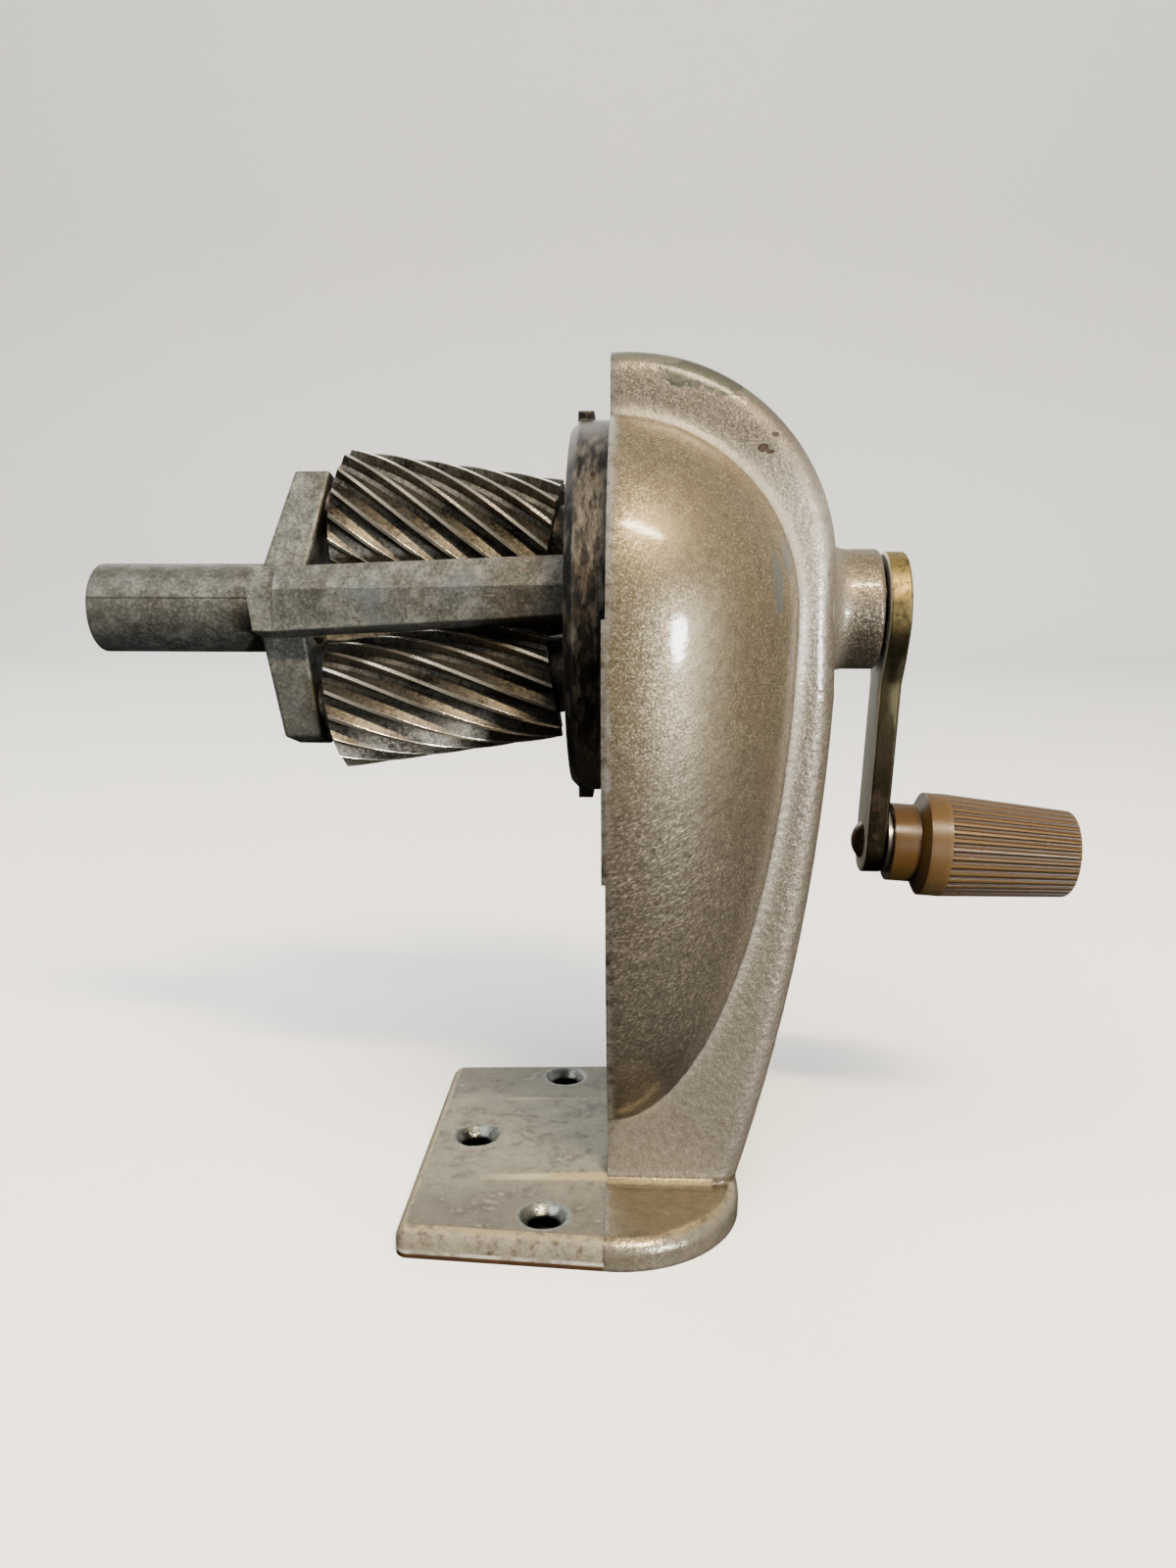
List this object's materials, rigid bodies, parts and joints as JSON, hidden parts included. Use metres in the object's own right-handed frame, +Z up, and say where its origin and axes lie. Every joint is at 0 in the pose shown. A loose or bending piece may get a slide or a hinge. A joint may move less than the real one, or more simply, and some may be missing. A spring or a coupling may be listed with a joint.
{
  "type": "crank pencil sharpener",
  "caption": "Hand-cranked planetary pencil sharpener on an egg-shaped stand: helical cutters in a carrier with a pencil tube, ring gear, crank arm and fluted knob; shavings drum off.",
  "frame": {"origin": "on the underside of the foot, in the plane of the shell's open mouth and in the stand's plane of symmetry", "axes": "+Z up, +X along the crank axis from the pencil tube to the crank, +Y to the far side as seen in the picture"},
  "size_m": [0.1442, 0.061, 0.1223],
  "materials": {
    "body_lacquer": "metallic taupe lacquer on die-cast zinc, worn at the edges",
    "ring_black": "black die casting, graphite sheen",
    "screw_steel": "dull steel",
    "carrier_zinc": "bare die-cast zinc, stained",
    "spindle_steel": "turned steel",
    "arm_brass": "yellow plating on steel, worn at the edges",
    "rivet_steel": "browned steel",
    "washer_steel": "bright steel",
    "knob_plastic": "tan moulded plastic, glossy",
    "cutter_steel": "dark tool steel with bright cutting edges",
    "pinion_steel": "dark machined steel",
    "pin_steel": "ground steel"
  },
  "bodies": {
    "stand": {"body_casting": "body_lacquer", "ring_gear": "ring_black", "ring_screws": "screw_steel"},
    "crank": {"cutter_carrier": "carrier_zinc", "crank_spindle": "spindle_steel", "spindle_cross_pin": "pin_steel", "spindle_washer": "washer_steel", "crank_arm": "arm_brass", "knob_rivet": "rivet_steel", "knob_washer": "washer_steel", "upper_cutter_pin": "pin_steel", "lower_cutter_pin": "pin_steel", "upper_front_washer": "washer_steel", "lower_front_washer": "washer_steel", "upper_rear_washer": "washer_steel", "lower_rear_washer": "washer_steel"},
    "upper_roll": {"upper_cutter": "cutter_steel", "upper_pinion": "pinion_steel"},
    "lower_roll": {"lower_cutter": "cutter_steel", "lower_pinion": "pinion_steel"},
    "knob": {"crank_knob": "knob_plastic"}
  },
  "joints": [
    {"name": "crank_spin", "type": "hinge", "parent": "stand", "child": "crank", "pos_m": [0, 0, 0.0882], "axis": [1, 0, 0], "continuous": true},
    {"name": "upper_cutter_spin", "type": "hinge", "parent": "crank", "child": "upper_roll", "pos_m": [-0.003, 0.00246, 0.09678], "axis": [0.989, -0.0407, -0.1421], "continuous": true},
    {"name": "lower_cutter_spin", "type": "hinge", "parent": "crank", "child": "lower_roll", "pos_m": [-0.003, -0.00246, 0.07962], "axis": [0.989, 0.0407, 0.1421], "continuous": true},
    {"name": "knob_spin", "type": "hinge", "parent": "crank", "child": "knob", "pos_m": [0.04049, 0, 0.05385], "axis": [0.998, 0, -0.0628], "continuous": true}
  ],
  "couplings": [
    {"joint": "upper_cutter_spin", "follows": "crank_spin", "ratio": -2.2143},
    {"joint": "lower_cutter_spin", "follows": "crank_spin", "ratio": -2.2143}
  ]
}
